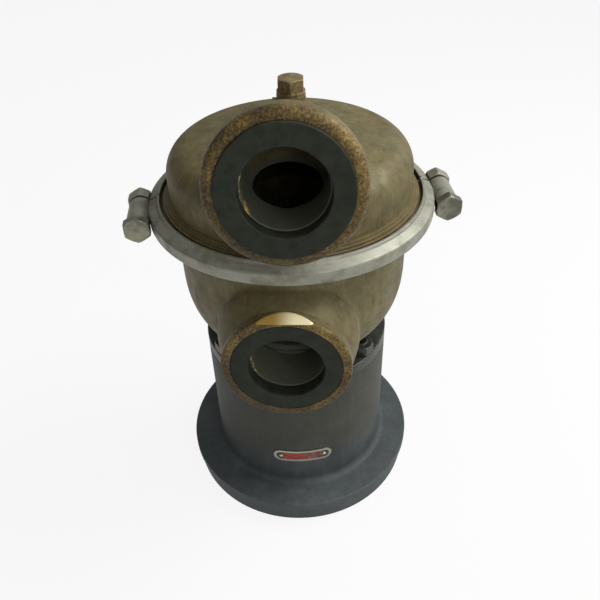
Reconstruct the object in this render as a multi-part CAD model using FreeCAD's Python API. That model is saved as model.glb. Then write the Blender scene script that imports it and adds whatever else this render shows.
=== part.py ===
import FreeCAD, Part
import math
import os

# Raw water pump for a marine engine. A cast iron bearing housing stands on its mounting
# flange, a bronze bowl with the outlet is clamped on top of it, and a domed bronze suction
# cover is held on the bowl by a band clamp in two halves.
# Millimetres, +Z up, origin on the shaft axis at the foot of the flange, ports towards -Y.

V = FreeCAD.Vector
CENTRE = V(0, 0, 0)
UP = V(0, 0, 1)
REARWARD = V(0, 1, 0)

# Mounting flange and bearing housing
register_r = 93.5
register_height = 14.5
relief_depth = 2.5
relief_height = 1.5
flange_r = 96.0
flange_thickness = 6.0
flange_edge = 0.8
flange_fillet = 5.0
housing_r = 72.0
housing_height = 109.0
housing_wall = 13.0
recess_r = 50.0
recess_depth = 18.0
bearing_shoulder = 6.0
shoulder_web = 8.0
core_round = 5.0
weep_chamber_r = 40.0
weep_chamber_depth = 12.0
weep_slot_width = 10.0
weep_slot_height = 6.0

# Clearances
slip = 0.1
running = 0.15
seat_clearance = 0.2

# Bearings: width, bore radius, outer radius, ball radius, number of balls
drive_bearing_width = 23.0
drive_bearing_bore_r = 20.0
drive_bearing_outer_r = 45.0
drive_ball_r = 7.54
drive_ball_count = 8
top_bearing_width = 17.0
top_bearing_bore_r = 17.5
top_bearing_outer_r = 36.0
top_ball_r = 5.55
top_ball_count = 9
race_land = 0.57
ring_edge = 1.0
cage_thickness = 0.36
cage_margin = 1.5
circlip_thickness = 2.0
circlip_depth = 2.5
circlip_land = 3.0
circlip_gap = 9.0
oil_seal_width = 7.0
oil_seal_skin = 1.5
oil_seal_gap = 0.5
lip_clearance = 0.06

# Shaft
shaft_end_gap = 2.0
spline_r = 15.0
spline_root_r = 12.8
spline_length = 14.0
spline_teeth = 10
spline_tooth_width = 4.6
shaft_collar_r = 24.0
seal_shaft_r = 15.0
impeller_shaft_r = 14.0
thread_r = 10.0
thread_length = 18.0
shaft_chamfer = 1.0
slinger_r = 30.0
slinger_thickness = 3.0
slinger_hub = 3.0
slinger_edge = 0.8
slinger_back_edge = 0.5

# Foot of the bowl, and the clamp ring that holds it
foot_r = 56.0
foot_thickness = 6.0
foot_neck_r = 53.0
foot_neck_height = 18.0
spigot_depth = 2.0
foot_ring_r = 72.0
foot_ring_height = 10.0
foot_ring_split = 1.0
foot_ring_chamfer = 1.5
stud_circle_r = 63.5
stud_r = 5.0
stud_depth = 16.0
stud_stand = 2.0
stud_angle = 54.5
foot_nut_flats = 16.0
foot_nut_height = 8.0

# Bowl
bowl_r = 82.5
bowl_wall = 6.0
bowl_height = 123.4
bowl_floor = 37.0
bowl_mouth_lead = 1.0
channel_round = 1.5
seal_wall = 8.0
seal_seat_r = 27.0
seal_seat_height = 9.0
seal_chamber_r = 28.0
seal_bore_r = 17.5

# Belly of the bowl: set in from its widest radius, height over the foot's seat, rounding
belly = [(22.5, 22.0, 40.0), (13.0, 29.0, 25.0), (7.0, 38.5, 50.0), (3.0, 48.0, 50.0),
         (0.7, 59.0, 60.0), (0.0, 69.0, 90.0)]

# Outlet port
outlet_clearance = 6.0
outlet_reach = 105.0
outlet_r = 43.0
outlet_ring_r = 37.0
outlet_fillet_margin = 0.5
outlet_rim = 1.5
outlet_flat = 38.9
outlet_flat_slope = 34.0
outlet_flare = 5.0
outlet_flare_start = 8.0
outlet_flare_root = 80.0
port_bore_r = 24.3
port_ring_thickness = 10.0
port_ring_hole_r = 25.0
port_ring_edge = 0.8

# Band clamp and the two lips that it draws together
lip_r = 97.0
lip_edge = 2.7
lip_width = 8.0
lip_root = 8.0
band_slope = 23.0
band_thickness = 2.5
band_slack = 0.5
band_leg = 5.5
band_corner = 2.0
band_bead = 0.8
band_bead_width = 1.6
band_turn = 7.6
band_gap = 2.0
lug_wall = 0.5
lug_r = 8.0
front_lug_length = 24.8
rear_lug_length = 9.5
rear_lug_flats = 17.0
band_bolt_r = 5.0
band_bolt_hole = 0.35
band_bolt_flats = 17.0
band_bolt_head = 6.5
band_bolt_end = 2.0
hex_chamfer = 0.9

# Suction cover
cover_r = 84.0
cover_wall = 5.0
cover_wall_height = 25.7
shoulder_r = 19.0
crown_r = 327.5
cover_step = 1.6
cover_steps = 3
cover_floor = 8.0
cover_spigot = 10.0
spigot_chamfer = 1.0
spigot_wall = 6.0
nozzle_r = 34.0
nozzle_wall = 12.0
o_ring_r = 1.8
cover_turn = 2.44

# Inlet port
inlet_reach = 105.0
inlet_rise = 63.6
inlet_tilt = 8.0
inlet_r = 44.9
inlet_face_r = 39.5
inlet_ring_r = 37.75
inlet_ring_stand = 3.0
inlet_lip_front = 4.0
inlet_lip_back = 8.0
inlet_lip_round_r = 1.2
inlet_lip_round_z = 1.6
inlet_neck_r = 32.0
inlet_neck_start = 14.0
inlet_elbow_back = 46.0
inlet_fillet = 5.0

# Priming plug
plug_x = 1.4
plug_y = 45.0
plug_boss_r = 10.5
plug_boss_rise = 55.6
plug_boss_fillet = 2.5
plug_boss_foot_r = 24.0
plug_boss_flare = 2.0
plug_thread_r = 6.5
plug_thread_length = 10.0
plug_thread_chamfer = 0.8
plug_thread_wall = 1.0
plug_washer_thickness = 1.5
plug_collar_thickness = 2.5
plug_flats = 18.0
plug_hex_height = 9.0
plug_pad_width = 5.0
plug_pad_reach = 13.5
plug_pad_drop = 2.0
plug_pad_depth = 9.0

# Impeller
impeller_r = 60.0
impeller_gap = 2.0
shroud = 4.0
outlet_width = 12.0
eye_r = 32.0
eye_wall = 5.0
eye_height = 33.0
front_slope_height = 26.0
hub_r = 21.0
hub_top = 32.0
hub_round = 2.0
eye_lead = 2.0
vane_root = 1.0
vane_count = 6
vane_start_r = 26.0
vane_angle = 28.0
vane_half_width = 4.0
key_width = 5.0
key_length = 20.0
washer_r = 17.0
washer_thickness = 2.5
impeller_nut_flats = 30.0
impeller_nut_height = 12.0
wear_ring_wall = 4.0
wear_ring_height = 8.0
wear_ring_drop = 5.0

# Mechanical shaft seal
seat_ring_r = 24.5
face_gap = 0.1
seal_head_r = 24.0
seal_face_thickness = 5.0
seal_sleeve_wall = 2.4
seal_plate_thickness = 3.0
seal_lead = 1.0
seal_face_step = 1.5
seal_seat_lip = 1.0
spring_wire = 2.4
spring_turns = 4.0

# Nameplate
plate_length = 47.0
plate_height = 12.0
plate_thickness = 0.8
plate_z = 55.5
plate_angle = 4.9
rivet_r = 1.7
rivet_height = 0.9
rivet_inset = 6.0

# Levels worked out from the sizes
flange_top = register_height + relief_height + flange_thickness
joint_z = flange_top + housing_height
part_z = joint_z + bowl_height
outlet_height = joint_z + foot_thickness + outlet_clearance + outlet_r
outlet_fillet = outlet_clearance - outlet_fillet_margin
outlet_flare_end = outlet_reach - outlet_flare_root
band_inner_r = lip_r + band_slack
band_outer_r = band_inner_r + band_thickness
lug_bolt_r = band_outer_r + band_bolt_r + lug_wall
inlet_height = part_z + inlet_rise
floor_z = joint_z + bowl_floor
foot_ring_top = joint_z + foot_ring_height
drive_bearing_z = flange_top
core_bottom = drive_bearing_z + drive_bearing_width + shoulder_web
weep_floor = joint_z - weep_chamber_depth
top_bearing_z = weep_floor - oil_seal_gap * 2 - oil_seal_width - top_bearing_width
core_top = top_bearing_z - shoulder_web
seat_z = joint_z - spigot_depth + seal_wall
face_z = seat_z + seal_seat_height
impeller_z = floor_z + impeller_gap
slope = math.tan(math.radians(band_slope))
lip_inner_height = lip_edge + lip_width * slope
cover_foot_z = part_z + lip_inner_height
shoulder_z = part_z + cover_wall_height
plug_boss_top = part_z + plug_boss_rise
plug_seat = V(plug_x, plug_y, plug_boss_top)
eye_outer_r = eye_r + eye_wall
eye_top = impeller_z + eye_height
wear_ring_inner_r = eye_outer_r + seat_clearance
wear_ring_outer_r = wear_ring_inner_r + wear_ring_wall
wear_ring_z = eye_top - wear_ring_drop
key_z = impeller_z + shroud
hub_top_z = impeller_z + hub_top


def unit(vector):
    """Vector of length one in the same direction."""
    return vector * (1.0 / vector.Length)


def outline(corners):
    """Closed wire in the XZ plane. A corner is (r, z), or (r, z, rounding), or an arc
    through a point to a point: (r, z, r, z)."""
    places = []
    for corner in corners:
        if len(corner) == 4:
            places.append(V(corner[2], 0, corner[3]))
        else:
            places.append(V(corner[0], 0, corner[1]))
    starts = list(places)
    ends = list(places)
    bends = [None] * len(corners)
    for i, corner in enumerate(corners):
        if len(corner) != 3:
            continue
        here = places[i]
        back = unit(places[i - 1] - here)
        ahead = unit(places[(i + 1) % len(places)] - here)
        half = back.getAngle(ahead) / 2.0
        reach = corner[2] / math.tan(half)
        starts[i] = here + back * reach
        ends[i] = here + ahead * reach
        middle = here + unit(back + ahead) * (corner[2] / math.sin(half) - corner[2])
        bends[i] = Part.Arc(starts[i], middle, ends[i]).toShape()
    edges = []
    for i in range(len(corners)):
        following = (i + 1) % len(corners)
        if bends[i]:
            edges.append(bends[i])
        if len(corners[following]) == 4:
            middle = V(corners[following][0], 0, corners[following][1])
            edges.append(Part.Arc(ends[i], middle, places[following]).toShape())
        elif ends[i].distanceToPoint(starts[following]) > 1e-6:
            edges.append(Part.LineSegment(ends[i], starts[following]).toShape())
    return Part.Wire(edges)


def turned(corners, sweep=360.0, start=0.0):
    """Solid made by turning a profile about the Z axis."""
    solid = Part.Face(outline(corners)).revolve(CENTRE, UP, sweep)
    solid.rotate(CENTRE, UP, start)
    return solid


def tube(inner_r, outer_r, low, high, edge=0.0):
    """Plain ring between two levels, with its four edges rounded."""
    if edge > 0:
        return turned([(inner_r, low, edge), (outer_r, low, edge),
                       (outer_r, high, edge), (inner_r, high, edge)])
    return turned([(inner_r, low), (outer_r, low), (outer_r, high), (inner_r, high)])


def rod(radius, low, high):
    """Cylinder on the Z axis between two levels."""
    return Part.makeCylinder(radius, high - low, V(0, 0, low))


def set_at(shape, origin, direction):
    """Copy of a shape with its Z axis laid along a direction from an origin."""
    result = shape.copy()
    place = FreeCAD.Placement(origin, FreeCAD.Rotation(UP, direction))
    result.Placement = place.multiply(result.Placement)
    return result


def around(shape, angles, centre=CENTRE):
    """Copies of a shape turned about a vertical axis."""
    copies = []
    for angle in angles:
        copy = shape.copy()
        copy.rotate(centre, UP, angle)
        copies.append(copy)
    return copies


def block(x0, x1, y0, y1, z0, z1):
    """Box between two corners."""
    return Part.makeBox(x1 - x0, y1 - y0, z1 - z0, V(x0, y0, z0))


def hexagon(flats, height, chamfer_low=0.0, chamfer_high=0.0):
    """Hexagonal prism from z 0 with its corners chamfered at the ends."""
    corner_r = flats / math.sqrt(3.0)
    points = []
    for i in range(7):
        angle = math.radians(60.0 * i)
        points.append(V(corner_r * math.cos(angle), corner_r * math.sin(angle), 0))
    prism = Part.Face(Part.makePolygon(points)).extrude(V(0, 0, height))
    flat_r = flats / 2.0
    reach_r = corner_r + 0.1
    profile = [(0, 0)]
    if chamfer_low > 0:
        profile += [(flat_r, 0), (reach_r, chamfer_low)]
    else:
        profile += [(reach_r, 0)]
    if chamfer_high > 0:
        profile += [(reach_r, height - chamfer_high), (flat_r, height)]
    else:
        profile += [(reach_r, height)]
    profile += [(0, height)]
    return prism.common(turned(profile))


def on_skin(edge, skin):
    """True where an edge lies in a skin."""
    for share in (0.2, 0.5, 0.8):
        low, high = edge.ParameterRange
        point = edge.valueAt(low + (high - low) * share)
        if Part.Vertex(point).distToShape(skin)[0] > 1e-3:
            return False
    return True


def filleted(whole, first, second, fillet_r):
    """Casting with a fillet along the edges where the skins of two of its forms cross."""
    first_skin = first.Shells[0]
    second_skin = second.Shells[0]
    seam = []
    for edge in whole.Edges:
        if on_skin(edge, first_skin) and on_skin(edge, second_skin):
            seam.append(edge)
    return whole.makeFillet(fillet_r, seam)


def group(solids):
    """Separate solids kept in one node."""
    return Part.makeCompound(solids)


def make_bearing_housing():
    """Cast iron housing with its flange, bearing seats and weep chamber."""
    relief_r = register_r - relief_depth
    relief_z = register_height + relief_height
    groove_r = drive_bearing_outer_r + circlip_depth
    groove_z = flange_top - circlip_thickness
    core_r = housing_r - housing_wall
    drive_opening = drive_bearing_outer_r - bearing_shoulder
    top_opening = top_bearing_outer_r - bearing_shoulder
    housing = turned([
        (recess_r, 0), (register_r, 0, flange_edge), (register_r, register_height),
        (relief_r, register_height), (relief_r, relief_z),
        (flange_r, relief_z, flange_edge), (flange_r, flange_top, flange_edge),
        (housing_r, flange_top, flange_fillet), (housing_r, joint_z, flange_edge),
        (weep_chamber_r, joint_z), (weep_chamber_r, weep_floor),
        (top_bearing_outer_r, weep_floor), (top_bearing_outer_r, top_bearing_z),
        (top_opening, top_bearing_z), (top_opening, core_top),
        (core_r, core_top, core_round), (core_r, core_bottom, core_round),
        (drive_opening, core_bottom), (drive_opening, core_bottom - shoulder_web),
        (drive_bearing_outer_r, core_bottom - shoulder_web),
        (drive_bearing_outer_r, flange_top), (groove_r, flange_top), (groove_r, groove_z),
        (drive_bearing_outer_r, groove_z), (drive_bearing_outer_r, recess_depth),
        (recess_r, recess_depth)])
    stud_hole = Part.makeCylinder(stud_r, stud_depth, V(0, -stud_circle_r, joint_z - stud_depth))
    housing = housing.cut(around(stud_hole, stud_angles()))
    return housing.cut(make_weep_slot())


def make_weep_slot():
    """Drain slot through the rear wall of the housing, with round ends."""
    half = (weep_slot_width - weep_slot_height) / 2.0
    end_r = weep_slot_height / 2.0
    slot_z = weep_floor + weep_chamber_depth / 2.0 - spigot_depth / 2.0
    inner_y = weep_chamber_r - bearing_shoulder
    length = housing_r - inner_y + flange_fillet
    slot = block(-half, half, inner_y, inner_y + length, slot_z - end_r, slot_z + end_r)
    for side in (-half, half):
        slot = slot.fuse(Part.makeCylinder(end_r, length, V(side, inner_y, slot_z), REARWARD))
    return slot


def stud_angles():
    """Angles of the four studs, from the front, clear of the outlet port."""
    return [stud_angle, -stud_angle, 180.0 - stud_angle, stud_angle - 180.0]


def make_foot_ring_halves():
    """Two half rings that lap over the foot of the bowl."""
    lap_r = foot_neck_r + seat_clearance * 2
    lap_z = joint_z + foot_thickness + slip
    inner_r = foot_r + seat_clearance
    profile = [
        (inner_r, joint_z), (foot_ring_r, joint_z, flange_edge),
        (foot_ring_r, foot_ring_top, flange_edge), (lap_r + foot_ring_chamfer, foot_ring_top),
        (lap_r, foot_ring_top - foot_ring_chamfer), (lap_r, lap_z), (inner_r, lap_z)]
    ring = turned(profile)
    hole = Part.makeCylinder(stud_r + seat_clearance, foot_ring_height * 2,
                             V(0, -stud_circle_r, joint_z - foot_ring_height / 2.0))
    ring = ring.cut(around(hole, stud_angles()))
    reach = foot_ring_r * 2
    half = foot_ring_split / 2.0
    front = ring.common(block(-reach, reach, -reach, -half, 0, part_z))
    rear = ring.common(block(-reach, reach, half, reach, 0, part_z))
    return front, rear


def make_foot_studs():
    """Studs in the housing that pull the clamp ring down."""
    top = foot_ring_top + foot_nut_height + stud_stand
    end = stud_stand / 2.0
    stud = turned([(0, joint_z - stud_depth), (stud_r, joint_z - stud_depth),
                   (stud_r, top - end), (stud_r - end, top), (0, top)])
    stud.translate(V(0, -stud_circle_r, 0))
    return group(around(stud, stud_angles()))


def make_foot_nuts():
    """Hexagon nuts on the studs."""
    nut = hexagon(foot_nut_flats, foot_nut_height, hex_chamfer, hex_chamfer)
    nut = nut.cut(rod(stud_r, 0, foot_nut_height))
    nut.translate(V(0, -stud_circle_r, foot_ring_top))
    return group(around(nut, stud_angles()))


def inner_corners(corners, wall):
    """Inner corners of a wall, set in along the mitres of all outer corners but the ends."""
    inner = []
    for i in range(1, len(corners) - 1):
        radius, level, rounding = corners[i]
        before = unit(V(radius - corners[i - 1][0], 0, level - corners[i - 1][1]))
        after = unit(V(corners[i + 1][0] - radius, 0, corners[i + 1][1] - level))
        first = V(-before.z, 0, before.x)
        second = V(-after.z, 0, after.x)
        mitre = (first + second) * (wall / (1.0 + first.dot(second)))
        inner.append((radius + mitre.x, level + mitre.z, rounding - wall))
    return inner


def belly_corners():
    """Outer corners of the bowl between its neck and its straight wall."""
    return [(bowl_r - inset, joint_z + level, rounding) for inset, level, rounding in belly]


def make_bowl_outside():
    """Outer form of the bowl: spigot, foot, neck, belly and lip."""
    spigot_r = weep_chamber_r - slip
    spigot_z = joint_z - spigot_depth
    foot_top = joint_z + foot_thickness
    lip_z = part_z - lip_inner_height
    return turned([
        (0, spigot_z), (spigot_r, spigot_z), (spigot_r, joint_z), (foot_r, joint_z),
        (foot_r, foot_top), (foot_neck_r, foot_top),
        (foot_neck_r, joint_z + foot_neck_height, bowl_wall)] + belly_corners() + [
        (bowl_r, lip_z - lip_root, bowl_wall), (lip_r - lip_width, lip_z),
        (lip_r, part_z - lip_edge), (lip_r, part_z), (0, part_z)])


def make_bowl_inside():
    """Hollow of the bowl: seal chamber, floor, collecting channel and mouth."""
    below = joint_z - spigot_depth - bowl_mouth_lead
    mouth_r = bowl_r - bowl_wall
    channel_r = impeller_r + impeller_gap
    channel = inner_corners(belly_corners() + [(bowl_r, part_z)], bowl_wall)
    floor_edge_r, channel_z = channel[0][:2]
    return turned([
        (0, below), (seal_bore_r, below), (seal_bore_r, seat_z), (seal_seat_r, seat_z),
        (seal_seat_r, face_z), (seal_chamber_r, face_z), (seal_chamber_r, floor_z),
        (channel_r, floor_z), (channel_r, channel_z, channel_round),
        (floor_edge_r, channel_z, channel_round)] + channel[1:] + [
        (mouth_r, part_z - bowl_mouth_lead), (mouth_r + bowl_mouth_lead, part_z),
        (mouth_r + bowl_mouth_lead, part_z + bowl_mouth_lead), (0, part_z + bowl_mouth_lead)])


def make_bowl():
    """Bronze bowl with its foot, seal chamber, collecting channel, lip and outlet."""
    face_centre = V(0, -outlet_reach, outlet_height)
    neck = make_outlet_neck()
    basin = make_bowl_outside()
    bore = rod(port_bore_r, 0, outlet_reach - impeller_r - 2 * impeller_gap)
    bore = bore.fuse(rod(outlet_ring_r + slip, -outlet_rim, port_ring_thickness))
    bowl = basin.fuse(neck).cut(make_bowl_inside()).cut(set_at(bore, face_centre, REARWARD))
    bowl = filleted(bowl.removeSplitter(), basin, neck, outlet_fillet)
    return bowl.cut(make_outlet_flat())


def make_outlet_neck():
    """Neck of the outlet: a round rim, then a flare that rises towards the lip of the bowl."""
    rim = turned([(0, 0), (outlet_r, 0, outlet_rim), (outlet_r, outlet_flare_start),
                  (0, outlet_flare_start)])
    raised = V(0, -outlet_flare, outlet_flare_end)
    wide_r = outlet_r + outlet_flare
    narrow = Part.Circle(V(0, 0, outlet_flare_start), UP, outlet_r).toShape()
    wide = Part.Circle(raised, UP, wide_r).toShape()
    flare = Part.makeLoft([Part.Wire([narrow]), Part.Wire([wide])], True, True)
    root_length = outlet_reach - outlet_flare_end - foot_neck_r + bowl_wall
    root = Part.makeCylinder(wide_r, root_length, raised)
    neck = rim.fuse(flare).fuse(root).removeSplitter()
    return set_at(neck, V(0, -outlet_reach, outlet_height), REARWARD)


def make_outlet_flat():
    """Wedge that cuts the sloping flat on top of the outlet's rim."""
    start = V(-outlet_r, -outlet_reach, outlet_height + outlet_flat)
    tilt = math.radians(outlet_flat_slope)
    along = V(0, math.cos(tilt), math.sin(tilt))
    corners = [start - along * outlet_rim, start + along * outlet_r,
               start + V(0, -outlet_rim, outlet_r)]
    return Part.Face(Part.makePolygon(corners + corners[:1])).extrude(V(2 * outlet_r, 0, 0))


def make_port_ring(outer_r):
    """Rubber sealing ring of a port, from its front face at z 0 inwards."""
    return tube(port_ring_hole_r, outer_r, 0, port_ring_thickness, port_ring_edge)


def make_outlet_seal_ring():
    """Rubber ring flush with the outlet face."""
    return set_at(make_port_ring(outlet_ring_r), V(0, -outlet_reach, outlet_height), REARWARD)


def on_cover(shape):
    """Shape turned about the Z axis with the cover."""
    shape.rotate(CENTRE, UP, cover_turn)
    return shape


def inlet_axis():
    """Direction from the inlet port back into the cover."""
    tilt = math.radians(inlet_tilt)
    return V(0, math.cos(tilt), -math.sin(tilt))


def inlet_point(depth):
    """Point on the inlet axis at a depth behind the widest circle of the lip."""
    return V(0, -inlet_reach, inlet_height) + inlet_axis() * depth


def make_inlet_seal_ring():
    """Rubber ring that stands a little proud of the inlet face."""
    front = inlet_point(-inlet_lip_front - inlet_ring_stand)
    return on_cover(set_at(make_port_ring(inlet_ring_r), front, inlet_axis()))


def dome_corners(offset):
    """Shoulder and crown of the cover as two tangent arcs, moved inwards by an offset."""
    centre_r = cover_r - shoulder_r
    lean = math.asin(centre_r / (crown_r - shoulder_r))
    crown_z = shoulder_z - (crown_r - shoulder_r) * math.cos(lean)
    small = shoulder_r - offset
    large = crown_r - offset
    middle = (math.pi / 2.0 - lean) / 2.0
    end = math.pi / 2.0 - lean
    half = lean / 2.0
    return [
        (centre_r + small, shoulder_z),
        (centre_r + small * math.cos(middle), shoulder_z + small * math.sin(middle),
         centre_r + small * math.cos(end), shoulder_z + small * math.sin(end)),
        (large * math.sin(half), crown_z + large * math.cos(half), 0, crown_z + large)]


def make_cover():
    """Domed suction cover with its lip, spigot, nozzle, inlet elbow and plug boss."""
    outside = [(0, part_z), (lip_r, part_z), (lip_r, part_z + lip_edge),
               (lip_r - lip_width, cover_foot_z)]
    tread = (lip_r - lip_width - cover_r) / cover_steps
    for i in range(cover_steps):
        step_r = lip_r - lip_width - tread * i
        step_z = cover_foot_z + cover_step * i
        outside.append((step_r, step_z + cover_step))
        outside.append((step_r - tread, step_z + cover_step))
    dome = turned(outside + dome_corners(0.0))
    neck = make_inlet_neck()
    boss = make_plug_boss()
    cover = dome.fuse(neck).fuse(boss).fuse(make_cover_spigot())
    cover = cover.cut(make_cover_chamber()).cut(make_inlet_bore()).removeSplitter()
    cover = filleted(cover, dome, boss, plug_boss_fillet)
    cover = filleted(cover, dome, neck, inlet_fillet)
    return on_cover(cover.fuse(make_plug_pad()).removeSplitter())


def make_inlet_neck():
    """Neck of the inlet with its wide lip and a round elbow at its end."""
    elbow = inlet_elbow_back
    neck = turned([
        (0, -inlet_lip_front), (inlet_face_r, -inlet_lip_front),
        (inlet_r - inlet_lip_round_r, inlet_lip_round_z - inlet_lip_front, inlet_r, 0),
        (inlet_r, inlet_lip_back), (inlet_neck_r, inlet_neck_start), (inlet_neck_r, elbow),
        (inlet_neck_r * math.sqrt(0.5), elbow + inlet_neck_r * math.sqrt(0.5),
         0, elbow + inlet_neck_r)])
    return set_at(neck, inlet_point(0.0), inlet_axis())


def make_plug_boss():
    """Boss for the priming plug, widening towards the crown of the cover."""
    depth = plug_boss_top - shoulder_z - shoulder_r / 2.0
    boss = turned([(0, -depth), (plug_boss_foot_r, -depth), (plug_boss_r, -plug_boss_flare),
                   (plug_boss_r, 0), (0, 0)])
    boss.translate(plug_seat)
    return boss


def make_plug_pad():
    """Small cast pad on the left of the boss."""
    half = plug_pad_width / 2.0
    pad = block(-plug_pad_reach, -plug_thread_r - plug_thread_wall, -half, half, -plug_pad_depth,
                -plug_pad_drop)
    pad.translate(plug_seat)
    return pad


def make_cover_spigot():
    """Spigot that centres the cover in the bowl, with the O-ring groove and the nozzle."""
    mouth_r = bowl_r - bowl_wall
    spigot_r = mouth_r - slip
    low = part_z - cover_spigot
    groove_r = mouth_r - 2 * o_ring_r
    groove_half = o_ring_r + slip
    groove_z = low + cover_spigot / 2.0
    nozzle_outer_r = nozzle_r + nozzle_wall
    seat_r = wear_ring_outer_r + slip / 2.0
    seat_top = wear_ring_z + wear_ring_height
    return turned([
        (nozzle_r, part_z + lip_edge), (nozzle_r, seat_top), (seat_r, seat_top),
        (seat_r, wear_ring_z), (nozzle_outer_r, wear_ring_z),
        (nozzle_outer_r, low, cover_wall), (spigot_r - spigot_chamfer, low),
        (spigot_r, low + spigot_chamfer),
        (spigot_r, groove_z - groove_half), (groove_r, groove_z - groove_half),
        (groove_r, groove_z + groove_half), (spigot_r, groove_z + groove_half),
        (spigot_r, part_z + lip_edge)])


def make_cover_chamber():
    """Inlet chamber inside the cover, with the way down into the nozzle."""
    floor = part_z - cover_spigot + cover_floor
    inner_r = bowl_r - bowl_wall - slip - spigot_wall
    wide_r = cover_r - cover_wall
    return turned([(0, floor - cover_floor * 2), (nozzle_r, floor - cover_floor * 2),
                   (nozzle_r, floor), (inner_r, floor, cover_wall / 2.0),
                   (inner_r, part_z + lip_edge), (wide_r, cover_foot_z + cover_wall)]
                  + dome_corners(cover_wall))


def make_inlet_bore():
    """Passage of the inlet with the seat of its rubber ring, and the tapped plug hole."""
    back = inlet_elbow_back
    ring_seat = rod(inlet_ring_r + slip, -inlet_lip_front - 1.0,
                    port_ring_thickness - inlet_lip_front - inlet_ring_stand)
    bore = rod(port_bore_r, 0, back).fuse(ring_seat)
    bore = bore.fuse(Part.makeSphere(inlet_neck_r - cover_wall, V(0, 0, back)))
    bore = set_at(bore, inlet_point(0.0), inlet_axis())
    drop = plug_boss_top - shoulder_z
    plug_hole = rod(plug_thread_r, -drop, 1.0)
    plug_hole.translate(plug_seat)
    return bore.fuse(plug_hole)


def make_cover_o_ring():
    """O-ring between the spigot of the cover and the mouth of the bowl."""
    centre_r = bowl_r - bowl_wall - o_ring_r
    return Part.makeTorus(centre_r, o_ring_r, V(0, 0, part_z - cover_spigot / 2.0))


def make_priming_plug():
    """Plug with a hexagon head, a collar and its threaded shank."""
    collar_z = plug_washer_thickness
    head_z = collar_z + plug_collar_thickness
    collar_r = plug_boss_r - seat_clearance
    end_z = -plug_thread_length
    plug = turned([(0, end_z), (plug_thread_r - plug_thread_chamfer, end_z),
                   (plug_thread_r, end_z + plug_thread_chamfer), (plug_thread_r, collar_z),
                   (collar_r, collar_z), (collar_r, head_z), (0, head_z)])
    head = hexagon(plug_flats, plug_hex_height, 0.0, hex_chamfer)
    head.rotate(CENTRE, UP, 30.0)
    head.translate(V(0, 0, head_z))
    plug = plug.fuse(head)
    plug.translate(plug_seat)
    return on_cover(plug)


def make_plug_washer():
    """Copper sealing washer under the plug."""
    washer = tube(plug_thread_r, plug_boss_r, 0, plug_washer_thickness)
    washer.translate(plug_seat)
    return on_cover(washer)


def leg_z(radius):
    """Level of the inner face of the band's upper leg, over the parting plane."""
    return lip_edge + slip / math.cos(math.radians(band_slope)) + (lip_r - radius) * slope


def band_section():
    """Section of the band: a flat rim with two beaded legs that wedge on the lips."""
    skin = band_thickness / math.cos(math.radians(band_slope))
    leg_r = lip_r - band_leg
    bead_r = leg_r + band_bead_width
    bead_z = part_z + leg_z(leg_r) + skin + band_bead
    upper = [(band_inner_r, part_z + leg_z(band_inner_r)), (leg_r, part_z + leg_z(leg_r)),
             (leg_r, bead_z), (bead_r, bead_z, band_bead / 2.0),
             (bead_r + band_bead, part_z + leg_z(bead_r + band_bead) + skin),
             (band_outer_r, part_z + leg_z(band_outer_r) + skin, band_corner)]
    lower = []
    for corner in reversed(upper):
        lower.append((corner[0], 2 * part_z - corner[1]) + corner[2:])
    return upper + lower


def hexagon_on_band(flats, height, chamfer_low, chamfer_high):
    """Hexagonal prism that will lie along a bolt with one flat towards the band."""
    prism = hexagon(flats, height, chamfer_low, chamfer_high)
    prism.rotate(CENTRE, UP, 30.0)
    return prism


def make_band_halves():
    """Front and rear halves of the band clamp with their lugs."""
    skin_r = band_outer_r - band_slack
    half_gap = band_gap / 2.0
    opening = math.degrees(math.asin(half_gap / skin_r))
    span = 180.0 - 2.0 * opening
    front = turned(band_section(), span, 180.0 + opening)
    rear = turned(band_section(), span, opening)
    clear = rod(skin_r, part_z - 3 * lug_r, part_z + 3 * lug_r)
    boss = rod(lug_r, -half_gap - front_lug_length, -half_gap)
    boss_hole = rod(band_bolt_r + band_bolt_hole, -2 * front_lug_length, 0)
    nut = hexagon_on_band(rear_lug_flats, rear_lug_length, hex_chamfer, hex_chamfer)
    nut.translate(V(0, 0, half_gap))
    nut_hole = rod(band_bolt_r, 0, 2 * rear_lug_length)
    for side in (-1.0, 1.0):
        front = front.fuse(along_bolt(boss, side).cut(clear)).cut(along_bolt(boss_hole, side))
        rear = rear.fuse(along_bolt(nut, side).cut(clear)).cut(along_bolt(nut_hole, side))
    front.rotate(CENTRE, UP, band_turn)
    rear.rotate(CENTRE, UP, band_turn)
    return front.removeSplitter(), rear.removeSplitter()


def along_bolt(shape, side):
    """Copy of a shape laid along the left or right bolt, before the band is turned."""
    return set_at(shape, V(side * lug_bolt_r, 0, part_z), REARWARD)


def make_band_bolt(side):
    """Hexagon bolt through the front lug into the nut of the rear half."""
    head_z = -band_gap / 2.0 - front_lug_length
    end_z = band_gap / 2.0 + rear_lug_length + band_bolt_end
    shank = turned([(0, head_z), (band_bolt_r, head_z), (band_bolt_r, end_z - shaft_chamfer),
                    (band_bolt_r - shaft_chamfer, end_z), (0, end_z)])
    head = hexagon_on_band(band_bolt_flats, band_bolt_head, hex_chamfer, 0.0)
    head.translate(V(0, 0, head_z - band_bolt_head))
    bolt = along_bolt(shank.fuse(head), side)
    bolt.rotate(CENTRE, UP, band_turn)
    return bolt


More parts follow.
